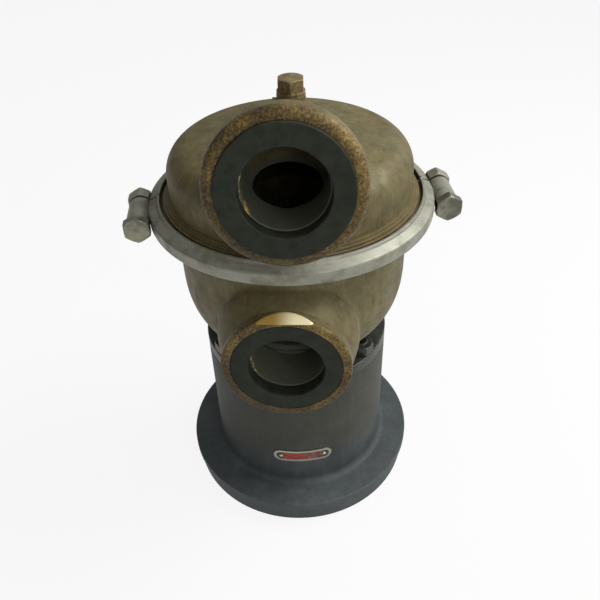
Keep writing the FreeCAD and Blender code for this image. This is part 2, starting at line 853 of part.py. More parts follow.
def make_nameplate():
    """Thin plate with round ends, bent to the housing, and bare."""
    shell = tube(housing_r, housing_r + plate_thickness, plate_z - plate_height,
                 plate_z + plate_height)
    half_height = plate_height / 2.0
    half = plate_length / 2.0 - half_height
    front = -housing_r - plate_thickness - 1.0
    form = block(-half, half, front, 0, plate_z - half_height, plate_z + half_height)
    for side in (-half, half):
        form = form.fuse(Part.makeCylinder(half_height, -front, V(side, front, plate_z),
                                           REARWARD))
    plate = shell.common(form)
    for rivet in rivet_places():
        plate = plate.cut(set_at(rod(rivet_r / 2.0, -2.0, 2.0), rivet[0], rivet[1]))
    plate.rotate(CENTRE, UP, plate_angle)
    return plate


def rivet_places():
    """Centre and outward direction of each rivet, before the plate is turned."""
    places = []
    seat_r = housing_r + plate_thickness
    x = plate_length / 2.0 - rivet_inset
    for side in (-1.0, 1.0):
        angle = math.asin(side * x / seat_r)
        direction = V(math.sin(angle), -math.cos(angle), 0)
        places.append((direction * seat_r + V(0, 0, plate_z), direction))
    return places


def make_nameplate_rivets():
    """Round-headed drive rivets at the ends of the plate."""
    head_r = (rivet_r ** 2 + rivet_height ** 2) / (2.0 * rivet_height)
    half = math.asin(rivet_r / head_r) / 2.0
    middle_z = rivet_height - head_r * (1.0 - math.cos(half))
    rivet = turned([(0, -plate_thickness), (rivet_r / 2.0, -plate_thickness),
                    (rivet_r / 2.0, 0), (rivet_r, 0),
                    (head_r * math.sin(half), middle_z, 0, rivet_height)])
    rivets = []
    for place in rivet_places():
        rivets.append(set_at(rivet, place[0], place[1]))
    return group(around(rivets[0], [plate_angle]) + around(rivets[1], [plate_angle]))


def bearing_pieces(low, width, bore_r, outer_r, ball_r, ball_count):
    """Outer ring, inner ring, balls and cage of a deep groove ball bearing."""
    high = low + width
    middle = low + width / 2.0
    pitch_r = (bore_r + outer_r) / 2.0
    inner_land = pitch_r - ball_r * race_land
    outer_land = pitch_r + ball_r * race_land
    groove = Part.makeTorus(pitch_r, ball_r + running / 2.0, V(0, 0, middle))
    outer_ring = turned([(outer_land, low), (outer_r, low, ring_edge),
                         (outer_r, high, ring_edge), (outer_land, high)]).cut(groove)
    inner_ring = turned([(bore_r, low, ring_edge), (inner_land, low), (inner_land, high),
                         (bore_r, high, ring_edge)]).cut(groove)
    angles = [360.0 * i / ball_count for i in range(ball_count)]
    balls = group(around(Part.makeSphere(ball_r, V(pitch_r, 0, middle)), angles))
    half = ball_r + cage_margin
    half_wall = ball_r * cage_thickness / 2.0
    cage = tube(pitch_r - half_wall, pitch_r + half_wall, middle - half, middle + half)
    pocket = Part.makeCylinder(ball_r + running, outer_r, V(0, 0, middle), V(1, 0, 0))
    for hole in around(pocket, angles):
        cage = cage.cut(hole)
    return outer_ring, inner_ring, balls, cage


def make_housing_circlip():
    """Internal circlip under the drive bearing, with two eyes at its gap."""
    low = flange_top - circlip_thickness
    outer_r = drive_bearing_outer_r + circlip_depth - slip
    inner_r = drive_bearing_outer_r - circlip_land
    ring = tube(inner_r, outer_r, low, flange_top)
    half = circlip_gap / 2.0
    ring = ring.cut(block(-half, half, 0, outer_r * 2, low - 1.0, flange_top + 1.0))
    for side in (-1.0, 1.0):
        place = V(side * (half + circlip_land / 2.0), inner_r - circlip_land / 2.0, low)
        eye = Part.makeCylinder(circlip_land, circlip_thickness, place)
        hole = Part.makeCylinder(circlip_land / 3.0, circlip_thickness, place)
        ring = ring.fuse(eye).cut(hole)
    return ring.removeSplitter()


def make_shaft_circlip():
    """External circlip on the shaft under the inner ring of the drive bearing."""
    low = flange_top - circlip_thickness
    inner_r = drive_bearing_bore_r - circlip_depth / 2.0
    outer_r = drive_bearing_bore_r + circlip_land
    ring = tube(inner_r, outer_r, low, flange_top)
    half = circlip_gap / 2.0
    return ring.cut(block(-half, half, 0, outer_r * 2, low - 1.0, flange_top + 1.0))


def make_oil_seal():
    """Lip seal above the top bearing."""
    low = top_bearing_z + top_bearing_width + oil_seal_gap
    high = low + oil_seal_width
    lip_r_in = top_bearing_bore_r + lip_clearance
    web_r = top_bearing_outer_r - oil_seal_skin
    lip_back_r = lip_r_in + 2 * oil_seal_skin
    return turned([(top_bearing_outer_r, low), (top_bearing_outer_r, high),
                   (lip_back_r, high), (lip_r_in, high - oil_seal_width / 3.0),
                   (lip_back_r, low), (lip_back_r + oil_seal_skin, low),
                   (lip_back_r + oil_seal_skin, high - oil_seal_skin),
                   (web_r, high - oil_seal_skin), (web_r, low)])


def make_shaft():
    """Stepped shaft with a splined drive end, a keyway and a thread."""
    low = shaft_end_gap
    spline_end = low + spline_length
    seat_low = flange_top - circlip_thickness * 2
    seat_high = drive_bearing_z + drive_bearing_width
    slinger_end = weep_floor + oil_seal_gap * 2 + slinger_thickness + slinger_hub
    groove_r = drive_bearing_bore_r - circlip_depth / 2.0
    groove_z = flange_top - circlip_thickness
    top = hub_top_z + washer_thickness + thread_length - shaft_chamfer
    shaft = turned([
        (0, low), (spline_r - shaft_chamfer, low), (spline_r, low + shaft_chamfer),
        (spline_r, seat_low), (drive_bearing_bore_r, seat_low),
        (drive_bearing_bore_r, groove_z), (groove_r, groove_z), (groove_r, flange_top),
        (drive_bearing_bore_r, flange_top), (drive_bearing_bore_r, seat_high),
        (shaft_collar_r, seat_high, shaft_chamfer), (shaft_collar_r, top_bearing_z, shaft_chamfer),
        (top_bearing_bore_r, top_bearing_z), (top_bearing_bore_r, slinger_end),
        (seal_shaft_r, slinger_end + shaft_chamfer), (seal_shaft_r, impeller_z),
        (impeller_shaft_r, impeller_z), (impeller_shaft_r, hub_top_z),
        (thread_r, hub_top_z), (thread_r, top), (thread_r - shaft_chamfer, top + shaft_chamfer),
        (0, top + shaft_chamfer)])
    gap_angle = 360.0 / spline_teeth
    root = tube(spline_root_r, spline_r + 1.0, low - 1.0, spline_end)
    half = spline_tooth_width / 2.0
    tooth = block(0, spline_r + 2.0, -half, half, low - 2.0, spline_end + 1.0)
    gaps = root.cut(around(tooth, [gap_angle * i for i in range(spline_teeth)]))
    shaft = shaft.cut(gaps)
    return shaft.cut(key_blank())


def key_blank():
    """Block of the key, half in the shaft and half in the hub."""
    half = key_width / 2.0
    return block(impeller_shaft_r - half, impeller_shaft_r + half, -half, half,
                 key_z, key_z + key_length)


def make_slinger():
    """Rubber ring on the shaft that throws leaked water to the weep slot."""
    low = weep_floor + oil_seal_gap * 2
    bore_r = top_bearing_bore_r
    return turned([(bore_r, low), (bore_r + slinger_hub, low), (slinger_r, low, slinger_edge),
                   (slinger_r, low + slinger_thickness / 2.0, slinger_back_edge),
                   (bore_r + slinger_hub, low + slinger_thickness),
                   (bore_r + slinger_hub, low + slinger_thickness + slinger_hub),
                   (bore_r, low + slinger_thickness + slinger_hub)])


def vane_face(angle):
    """Plan of one backward curved vane, at z 0."""
    lean = math.tan(math.radians(vane_angle))
    tip_r = impeller_r
    middle_r = math.sqrt(vane_start_r * tip_r)
    def spot(radius, turn):
        theta = math.radians(angle + turn) - math.log(radius / vane_start_r) / lean
        return V(radius * math.cos(theta), radius * math.sin(theta), 0)
    sides = []
    for turn in (-vane_half_width, vane_half_width):
        sides.append([spot(vane_start_r, turn), spot(middle_r, turn), spot(tip_r, turn)])
    first = Part.Arc(*sides[0]).toShape()
    second = Part.Arc(*sides[1]).toShape()
    inner = Part.LineSegment(sides[0][0], sides[1][0]).toShape()
    outer = Part.LineSegment(sides[0][2], sides[1][2]).toShape()
    return Part.Face(Part.Wire([first, outer, second, inner]))


def make_impeller():
    """Closed impeller: back shroud with hub, six vanes, front shroud with the eye ring."""
    back_top = impeller_z + shroud
    front_low = back_top + outlet_width
    front_top = front_low + shroud
    slope_z = impeller_z + front_slope_height
    back = turned([(impeller_shaft_r, impeller_z), (impeller_r, impeller_z),
                   (impeller_r, back_top), (hub_r, back_top, shroud), (hub_r, hub_top_z, hub_round),
                   (impeller_shaft_r, hub_top_z)])
    front = turned([(impeller_r, front_low), (impeller_r, front_top),
                    (eye_outer_r, slope_z, shroud), (eye_outer_r, eye_top), (eye_r, eye_top),
                    (eye_r, slope_z - eye_lead, shroud)])
    passage = turned([(hub_r - vane_root, back_top - vane_root),
                      (impeller_r, back_top - vane_root), (impeller_r, front_low + vane_root),
                      (eye_r + vane_root, slope_z - vane_root),
                      (hub_r - vane_root, slope_z - vane_root)])
    impeller = back.fuse(front)
    for i in range(vane_count):
        vane = vane_face(360.0 * i / vane_count).extrude(V(0, 0, eye_height))
        vane.translate(V(0, 0, impeller_z))
        impeller = impeller.fuse(vane.common(passage))
    return impeller.cut(key_blank()).removeSplitter()


def make_impeller_nut():
    """Nut that holds the impeller on the shaft."""
    nut = hexagon(impeller_nut_flats, impeller_nut_height, 0.0, hex_chamfer * 1.5)
    nut = nut.cut(rod(thread_r, 0, impeller_nut_height))
    nut.translate(V(0, 0, hub_top_z + washer_thickness))
    return nut


def make_seal_head():
    """Turning half of the shaft seal: face ring, sleeve and back plate."""
    low = face_z + face_gap
    face_top = low + seal_face_thickness
    high = impeller_z
    sleeve_r = seal_shaft_r + seal_sleeve_wall
    step_r = seal_shaft_r + seal_face_step
    return turned([(seal_shaft_r, low + seal_lead), (step_r, low + seal_lead),
                   (step_r, low), (seal_head_r, low), (seal_head_r, face_top),
                   (sleeve_r, face_top), (sleeve_r, high - seal_plate_thickness),
                   (seal_head_r, high - seal_plate_thickness), (seal_head_r, high),
                   (seal_shaft_r, high)])


def make_seal_spring():
    """Coil spring of square wire round the sleeve of the seal head."""
    half = spring_wire / 2.0
    low = face_z + face_gap + seal_face_thickness + half
    high = impeller_z - seal_plate_thickness - half
    coil_r = (seal_head_r + seal_shaft_r + seal_sleeve_wall) / 2.0
    helix = Part.makeHelix((high - low) / spring_turns, high - low, coil_r)
    section = Part.makePolygon([V(coil_r - half, 0, -half), V(coil_r + half, 0, -half),
                                V(coil_r + half, 0, half), V(coil_r - half, 0, half),
                                V(coil_r - half, 0, -half)])
    spring = Part.Wire(helix.Edges).makePipeShell([section], True, True)
    spring.translate(V(0, 0, low))
    return spring


def write(name, shape):
    """One STEP file for one node."""
    shape.exportStep("parts/" + name + ".step")


def main():
    os.makedirs("parts", exist_ok=True)
    foot_front, foot_rear = make_foot_ring_halves()
    band_front, band_rear = make_band_halves()
    write("bearing_housing", make_bearing_housing())
    write("foot_ring_front", foot_front)
    write("foot_ring_rear", foot_rear)
    write("foot_studs", make_foot_studs())
    write("foot_nuts", make_foot_nuts())
    write("pump_bowl", make_bowl())
    write("outlet_seal_ring", make_outlet_seal_ring())
    write("suction_cover", make_cover())
    write("inlet_seal_ring", make_inlet_seal_ring())
    write("cover_o_ring", make_cover_o_ring())
    write("priming_plug", make_priming_plug())
    write("plug_washer", make_plug_washer())
    write("band_clamp_front", band_front)
    write("band_clamp_rear", band_rear)
    for side, label in ((-1.0, "left"), (1.0, "right")):
        write("band_bolt_" + label, make_band_bolt(side))
    write("nameplate", make_nameplate())
    write("nameplate_rivets", make_nameplate_rivets())
    drive = bearing_pieces(drive_bearing_z, drive_bearing_width, drive_bearing_bore_r,
                           drive_bearing_outer_r, drive_ball_r, drive_ball_count)
    top = bearing_pieces(top_bearing_z, top_bearing_width, top_bearing_bore_r,
                         top_bearing_outer_r, top_ball_r, top_ball_count)
    for label, pieces in (("drive_bearing", drive), ("top_bearing", top)):
        write(label + "_outer_ring", pieces[0])
        write(label + "_inner_ring", pieces[1])
        write(label + "_balls", pieces[2])
        write(label + "_cage", pieces[3])
    write("housing_circlip", make_housing_circlip())
    write("shaft_circlip", make_shaft_circlip())
    write("oil_seal", make_oil_seal())
    write("shaft", make_shaft())
    write("slinger", make_slinger())
    write("impeller", make_impeller())
    write("impeller_key", key_blank())
    write("impeller_washer", tube(thread_r, washer_r, hub_top_z, hub_top_z + washer_thickness))
    write("impeller_nut", make_impeller_nut())
    write("wear_ring", tube(wear_ring_inner_r, wear_ring_outer_r, wear_ring_z,
                            wear_ring_z + wear_ring_height))
    write("seal_seat", tube(seal_bore_r - seal_seat_lip, seat_ring_r, seat_z, face_z))
    write("seal_cup", tube(seat_ring_r, seal_seat_r, seat_z, face_z - running * 2))
    write("seal_head", make_seal_head())
    write("seal_spring", make_seal_spring())


main()
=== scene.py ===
import math

import bpy
from mathutils import Matrix, Vector


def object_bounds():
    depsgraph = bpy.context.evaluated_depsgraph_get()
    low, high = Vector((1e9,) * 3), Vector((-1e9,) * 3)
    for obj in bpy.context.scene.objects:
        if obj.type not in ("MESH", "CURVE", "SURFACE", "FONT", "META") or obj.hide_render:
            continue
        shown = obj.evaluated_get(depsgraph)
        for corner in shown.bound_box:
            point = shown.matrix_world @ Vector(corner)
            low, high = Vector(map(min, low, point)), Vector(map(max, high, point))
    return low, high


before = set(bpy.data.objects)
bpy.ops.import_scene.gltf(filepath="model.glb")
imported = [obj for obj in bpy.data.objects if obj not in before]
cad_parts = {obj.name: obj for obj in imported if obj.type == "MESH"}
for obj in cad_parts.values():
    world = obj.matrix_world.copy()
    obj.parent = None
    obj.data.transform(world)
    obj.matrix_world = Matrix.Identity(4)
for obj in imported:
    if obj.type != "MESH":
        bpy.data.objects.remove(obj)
cad_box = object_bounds()

# Camera fitted to the photograph, in metres and degrees.
camera_place = Vector((0.02966, -0.41068, 0.4889))
camera_azimuth = 3.62
camera_elevation = 38.64
camera_roll = -1.98
camera_lens = 39.6
camera_sensor = 36.0

# Places on the part that the finishes need, in metres and degrees, as the solids have them.
inlet_face = Vector((0.00464, -0.10886, 0.31856))
inlet_axis = Vector((0.04216, -0.98937, 0.13917))
outlet_face = Vector((0.0, -0.105, 0.186))
outlet_axis = Vector((0.0, -1.0, 0.0))
outlet_flat_place = Vector((0.0, -0.105, 0.2249))
outlet_flat_slope = 34.0
outlet_flat_back_y = -0.0925
outlet_flat_top_z = 0.2310
port_inner_r = 0.029
port_inner_depth = 0.062
part_z = 0.2544
crown_centre = Vector((0.0, 0.0, -0.0214))
crown_inner_r = 0.3250
chamber_r = 0.0755
chamber_floor_z = 0.2520
bowl_inner_r = 0.0705
bowl_floor_z = 0.1635
ledge_r = 0.0836
ledge_low = 0.0045
ledge_high = 0.0125
bolt_axis = Vector((-0.1323, 0.9912, 0.0))
bolt_thread_start = 0.0105
stud_thread_z = 0.1485
thread_pitch = 0.00125
glint_left = 0.0195
glint_depth = 0.0125
barrel_low_z = 0.036
barrel_high_z = 0.075
plate_z = 0.0555
plate_r = 0.0728
plate_half_length = 0.0235
plate_half_height = 0.006
plate_border = 0.0022
plate_turn = 4.9
plate_dull_from = 0.001
plate_dark_from = 0.0155
edge_round = 0.0006

# Widths over which one finish fades into the next, in metres.
sharp_fade = 0.0005
soft_fade = 0.001

# Floor, surround and lamps: a lamp has its name, its place and target in metres, its width and
# height in metres and its power in watts.
floor_half = 4.0
floor_drop = 0.0002
floor_grey = 0.66
floor_white_share = 0.88
world_level = 0.36
world_right = 0.36
world_high = 0.34
world_dark = (0.08, 0.08, 0.083, 1.0)
world_bright = (1.0, 1.0, 0.98, 1.0)
world_strength = 0.75
lamps = [
    ("key", (0.75, 0.15, 1.05), (0.0, 0.0, 0.2), 0.7, 0.5, 13.0),
    ("front", (0.6, -1.1, 0.75), (0.0, 0.0, 0.18), 0.8, 0.6, 4.6)]


def srgb(red, green, blue):
    """Linear colour from the usual 0 to 255 values."""
    linear = []
    for value in (red, green, blue):
        share = value / 255.0
        linear.append(share / 12.92 if share <= 0.04045 else ((share + 0.055) / 1.055) ** 2.4)
    return (*linear, 1.0)


class Finish:
    """One material and short calls for the nodes that it uses."""

    def __init__(self, name):
        self.material = bpy.data.materials.new(name)
        self.material.use_nodes = True
        self.tree = self.material.node_tree
        self.shader = self.tree.nodes["Principled BSDF"]
        self.place = self.node("ShaderNodeTexCoord").outputs["Object"]

    def node(self, kind, **settings):
        made = self.tree.nodes.new(kind)
        for key, value in settings.items():
            setattr(made, key, value)
        return made

    def put(self, socket, value):
        """Link a socket to another one, or set it to a plain value."""
        if isinstance(value, bpy.types.NodeSocket):
            self.tree.links.new(value, socket)
        else:
            socket.default_value = value

    def math(self, operation, *values):
        made = self.node("ShaderNodeMath", operation=operation)
        for socket, value in zip(made.inputs, values):
            self.put(socket, value)
        return made.outputs[0]

    def times(self, first, second):
        """Where both of two masks are 1, or a value scaled by a number."""
        return self.math("MULTIPLY", first, second)

    def weighted(self, first, *others):
        """Sum of values, each one times its weight."""
        total = self.times(*first)
        for pair in others:
            total = self.math("ADD", total, self.times(*pair))
        return total

    def vector_math(self, operation, first, second):
        made = self.node("ShaderNodeVectorMath", operation=operation)
        self.put(made.inputs[0], first)
        self.put(made.inputs[1], second)
        return made.outputs["Value" if operation == "DOT_PRODUCT" else "Vector"]

    def axis(self, name):
        """One coordinate of the place on the part."""
        made = self.node("ShaderNodeSeparateXYZ")
        self.put(made.inputs[0], self.place)
        return made.outputs[name]

    def stretched(self, x, y, z):
        """Place on the part, scaled along each axis."""
        return self.vector_math("MULTIPLY", self.place, (x, y, z))

    def noise(self, scale, detail=4.0, roughness=0.55, vector=None, distortion=0.0):
        made = self.node("ShaderNodeTexNoise")
        self.put(made.inputs["Vector"], vector or self.place)
        made.inputs["Scale"].default_value = scale
        made.inputs["Detail"].default_value = detail
        made.inputs["Roughness"].default_value = roughness
        made.inputs["Distortion"].default_value = distortion
        return made.outputs["Fac"]

    def step(self, value, low, high):
        """Smooth step from 0 at low to 1 at high."""
        made = self.node("ShaderNodeMapRange", interpolation_type="SMOOTHSTEP")
        self.put(made.inputs["Value"], value)
        made.inputs["From Min"].default_value = low
        made.inputs["From Max"].default_value = high
        return made.outputs["Result"]

    def span(self, value, low, high, to_low, to_high):
        """Straight map of one range to another."""
        made = self.node("ShaderNodeMapRange")
        self.put(made.inputs["Value"], value)
        made.inputs["From Min"].default_value = low
        made.inputs["From Max"].default_value = high
        made.inputs["To Min"].default_value = to_low
        made.inputs["To Max"].default_value = to_high
        return made.outputs["Result"]

    def ramp(self, value, stops):
        made = self.node("ShaderNodeValToRGB")
        self.put(made.inputs[0], value)
        elements = made.color_ramp.elements
        while len(elements) < len(stops):
            elements.new(0.5)
        for element, (place, colour) in zip(elements, stops):
            element.position = place
            element.color = colour
        return made.outputs["Color"]

    def mix(self, share, first, second):
        made = self.node("ShaderNodeMix", data_type="RGBA")
        self.put(made.inputs[0], share)
        self.put(made.inputs[6], first)
        self.put(made.inputs[7], second)
        return made.outputs[2]

    def tint(self, colour, mask, amount, toward):
        """Colour drawn toward another one, by an amount, where the mask is 1."""
        return self.mix(self.times(mask, amount), colour, toward)

    def lerp(self, share, first, second):
        made = self.node("ShaderNodeMix", data_type="FLOAT")
        self.put(made.inputs[0], share)
        self.put(made.inputs[2], first)
        self.put(made.inputs[3], second)
        return made.outputs[0]

    def length(self, vector):
        made = self.node("ShaderNodeVectorMath", operation="LENGTH")
        self.put(made.inputs[0], vector)
        return made.outputs["Value"]

    def around(self):
        """Distance from the shaft's axis."""
        return self.length(self.stretched(1, 1, 0))

    def off_axis(self, place, axis):
        """Distance from an axis through a place."""
        arm = self.vector_math("SUBTRACT", self.place, tuple(place))
        return self.length(self.vector_math("CROSS_PRODUCT", arm, tuple(axis)))

    def turn(self):
        """Angle round the shaft's axis, 0 at the front."""
        return self.math("ARCTAN2", self.axis("X"), self.times(self.axis("Y"), -1.0))

    def rounded(self, radius=edge_round):
        """Normal with small rounds on all edges."""
        made = self.node("ShaderNodeBevel", samples=4)
        made.inputs["Radius"].default_value = radius
        return made.outputs["Normal"]

    def edges(self, radius, low=0.02, high=0.35):
        """1 on edges and corners, 0 on open faces."""
        made = self.node("ShaderNodeBevel", samples=4)
        made.inputs["Radius"].default_value = radius
        true_normal = self.node("ShaderNodeNewGeometry").outputs["Normal"]
        along = self.vector_math("DOT_PRODUCT", made.outputs["Normal"], true_normal)
        return self.step(self.math("SUBTRACT", 1.0, along), low, high)

    def crevices(self, distance):
        """1 in narrow corners, 0 in the open."""
        made = self.node("ShaderNodeAmbientOcclusion", samples=6)
        made.inputs["Distance"].default_value = distance
        return self.math("SUBTRACT", 1.0, made.outputs["AO"])

    def bump(self, height, strength, depth, normal=None):
        made = self.node("ShaderNodeBump")
        made.inputs["Strength"].default_value = strength
        made.inputs["Distance"].default_value = depth
        self.put(made.inputs["Height"], height)
        if normal is not None:
            self.put(made.inputs["Normal"], normal)
        return made.outputs["Normal"]

    def finish(self, colour, roughness, metallic, normal=None, gloss=0.5):
        self.shader.inputs["Specular IOR Level"].default_value = gloss
        self.put(self.shader.inputs["Base Color"], colour)
        self.put(self.shader.inputs["Roughness"], roughness)
        self.put(self.shader.inputs["Metallic"], metallic)
        if normal is not None:
            self.put(self.shader.inputs["Normal"], normal)
        return self.material


def cast_skin(f):
    """Mottled old bronze skin: colour, roughness and bump height."""
    clouds = f.noise(26, 5, 0.6, distortion=0.6)
    blots = f.noise(110, 5, 0.65)
    streaks = f.noise(1, 4, 0.65, vector=f.stretched(260, 260, 22))
    grain = f.noise(1100, 3, 0.65)
    blend = f.weighted((clouds, 0.4), (blots, 0.35), (streaks, 0.25))
    colour = f.ramp(blend, [
        (0.32, srgb(66, 58, 35)), (0.42, srgb(84, 75, 47)), (0.52, srgb(101, 92, 60)),
        (0.62, srgb(116, 107, 73)), (0.74, srgb(134, 125, 88))])
    green = f.step(f.noise(40, 4, 0.6, vector=f.stretched(1.3, 1, 0.6)), 0.5, 0.66)
    colour = f.tint(colour, green, 0.35, srgb(96, 98, 74))
    brown = f.step(f.noise(58, 5, 0.65, vector=f.stretched(1, 1.2, 1.1)), 0.5, 0.68)
    colour = f.tint(colour, brown, 0.32, srgb(100, 80, 45))
    specks = f.step(grain, 0.56, 0.68)
    colour = f.tint(colour, specks, 0.3, srgb(146, 132, 92))
    height = f.weighted((grain, 0.5), (blots, 1.0))
    roughness = f.span(blots, 0.3, 0.7, 0.64, 0.52)
    return colour, roughness, height


def gold_rim(f, face):
    """Speckled brown-gold of the port faces with dark pits, a painted highlight towards the upper
    right and painted shade on the lower side.
    """
    speckle = f.noise(620, 4, 0.75)
    patches = f.noise(60, 4, 0.6)
    upper_right = Vector((0.6, 0.0, 0.8))
    level = face.dot(upper_right)
    height = f.vector_math("DOT_PRODUCT", f.place, tuple(upper_right))
    # Painted highlight: the rim face is drawn lighter towards the upper right.
    lit = f.step(height, level + 0.008, level + 0.042)
    # Painted shade: the rim face is drawn darker on its lower side.
    painted_shade_below = f.step(height, level - 0.004, level - 0.044)
    blend = f.weighted((speckle, 0.62), (patches, 0.38), (lit, 0.03))
    gold = f.ramp(blend, [
        (0.38, srgb(42, 34, 20)), (0.46, srgb(76, 62, 36)), (0.54, srgb(104, 86, 48)),
        (0.62, srgb(142, 120, 64)), (0.7, srgb(176, 152, 84))])
    return f.tint(gold, painted_shade_below, 0.5, srgb(42, 40, 30))


def cast_bronze(name, rim_share, face, axis, hollow_share, polish_share=None, ledge_share=None):
    """Old cast bronze with its rims, polished places, step edges and dark wet passages, with
    painted shade in its crevices, a painted highlight on the right of a polished flat and painted
    glints at the left of each bore.
    """
    f = Finish(name)
    colour, roughness, height = cast_skin(f)
    # Painted shade: the bronze is drawn darker in crevices and corners.
    crevice_shade = f.step(f.crevices(0.012), 0.22, 0.75)
    colour = f.tint(colour, crevice_shade, 0.8, srgb(44, 36, 22))
    worn = f.edges(0.0012, 0.02, 0.25)
    worn = f.times(worn, f.step(f.noise(130, 4, 0.6), 0.36, 0.6))
    colour = f.tint(colour, worn, 0.5, srgb(156, 136, 88))
    rim = rim_share(f)
    colour = f.mix(rim, colour, gold_rim(f, face))
    metallic = f.lerp(rim, 0.2, 0.35)
    if ledge_share is not None:
        colour = f.tint(colour, ledge_share(f), 0.25, srgb(116, 98, 62))
    if polish_share is not None:
        polish = polish_share(f)
        # Painted highlight: the right of the polished flat is drawn near white.
        bright = f.step(f.axis("X"), -0.008, 0.009)
        colour = f.mix(polish, colour, f.mix(bright, srgb(160, 128, 62), srgb(255, 244, 196)))
        roughness = f.lerp(polish, roughness, 0.36)
        metallic = f.lerp(polish, metallic, 0.35)
        height = f.times(height, f.math("SUBTRACT", 1.0, polish))
    depth = f.math("SUBTRACT", face.dot(axis), f.vector_math("DOT_PRODUCT", f.place, tuple(axis)))
    bore = f.times(f.step(f.off_axis(face, axis), port_inner_r, port_inner_r - sharp_fade),
                   f.step(depth, port_inner_depth, port_inner_depth - 0.002))
    hollow = f.math("MAXIMUM", bore, hollow_share(f))
    scale = f.mix(f.noise(90, 4, 0.6), srgb(74, 77, 65), srgb(94, 97, 83))
    left_x = face.x - glint_left
    left = f.step(f.axis("X"), left_x, left_x - 0.002)
    shallow = f.step(depth, glint_depth + soft_fade, glint_depth)
    glints = f.times(f.times(left, shallow), f.step(f.noise(170, 3, 0.6), 0.5, 0.56))
    colour = f.mix(hollow, colour, f.mix(glints, scale, srgb(206, 172, 92)))
    metallic = f.lerp(hollow, metallic, 0.0)
    normal = f.bump(height, 0.4, 0.0006, f.rounded(0.0008))
    return f.finish(colour, roughness, metallic, normal, gloss=0.35)


def inlet_rim_share(f):
    """1 on the inlet's end face, fading over its rounded edge."""
    offset = f.vector_math("DOT_PRODUCT", f.place, tuple(inlet_axis))
    offset = f.math("ADD", offset, f.span(f.noise(180, 4, 0.7), 0.3, 0.7, -0.0016, 0.0016))
    level = inlet_face.dot(inlet_axis)
    return f.step(offset, level - 0.0072, level - 0.0016)


def outlet_rim_share(f):
    """1 on the outlet's end face, fading over its rounded edge."""
    offset = f.math("SUBTRACT", f.span(f.noise(180, 4, 0.7), 0.3, 0.7, -0.001, 0.001), f.axis("Y"))
    level = -outlet_face.y
    return f.step(offset, level - 0.0042, level - 0.0012)


def outlet_flat_share(f):
    """1 on the sloping flat that is worn bright on top of the outlet."""
    tilt = math.radians(outlet_flat_slope)
    normal = Vector((0.0, -math.sin(tilt), math.cos(tilt)))
    level = normal.dot(outlet_flat_place)
    offset = f.vector_math("DOT_PRODUCT", f.place, tuple(normal))
    near = f.step(offset, level - 0.0006, level - 0.0002)
    front = f.step(f.times(f.axis("Y"), -1.0), -outlet_flat_back_y,
                   0.002 - outlet_flat_back_y)
    low = f.step(f.axis("Z"), outlet_flat_top_z, outlet_flat_top_z - soft_fade)
    return f.times(near, f.times(front, low))


def cover_hollow_share(f):
    """1 on the inside of the cover, under its crown."""
    near = f.step(f.around(), chamber_r, chamber_r - soft_fade)
    reach = f.length(f.vector_math("SUBTRACT", f.place, tuple(crown_centre)))
    under = f.step(reach, crown_inner_r + sharp_fade, crown_inner_r - sharp_fade)
    high = f.step(f.axis("Z"), chamber_floor_z, chamber_floor_z + soft_fade)
    return f.times(near, f.times(under, high))


def bowl_hollow_share(f):
    """1 on the inside of the bowl."""
    near = f.step(f.around(), bowl_inner_r, bowl_inner_r - sharp_fade)
    return f.times(near, f.step(f.axis("Z"), bowl_floor_z, bowl_floor_z + sharp_fade))


def ledge_share(f):
    """1 on the small steps round the foot of the dome."""
    low = f.step(f.axis("Z"), part_z + ledge_low, part_z + ledge_low + soft_fade)
    high = f.step(f.axis("Z"), part_z + ledge_high, part_z + ledge_high - soft_fade)
    ring = f.step(f.around(), ledge_r, ledge_r + 0.0006)
    return f.times(ring, f.times(low, high))


def plain_metal(name, dark, light, metallic, rough_low, rough_high, grain=700, edge=None):
    """Worked metal with fine mottling, lighter edges where it is worn, and painted shade in its
    crevices.
    """
    f = Finish(name)
    fine = f.noise(grain, 3, 0.6)
    large = f.noise(grain / 9, 4, 0.6)
    share = f.weighted((fine, 0.4), (large, 0.6))
    colour = f.mix(f.step(share, 0.36, 0.64), dark, light)
    # Painted shade: the metal is drawn darker in crevices and corners.
    crevice_shade = f.step(f.crevices(0.004), 0.3, 0.85)
    colour = f.tint(colour, crevice_shade, 0.6, srgb(34, 31, 25))
    if edge is not None:
        worn = f.times(f.edges(0.0009), f.step(large, 0.35, 0.6))
        colour = f.mix(worn, colour, edge)
    roughness = f.span(share, 0.35, 0.65, rough_low, rough_high)
    return f.finish(colour, roughness, metallic, f.bump(fine, 0.2, 0.0003, f.rounded()))


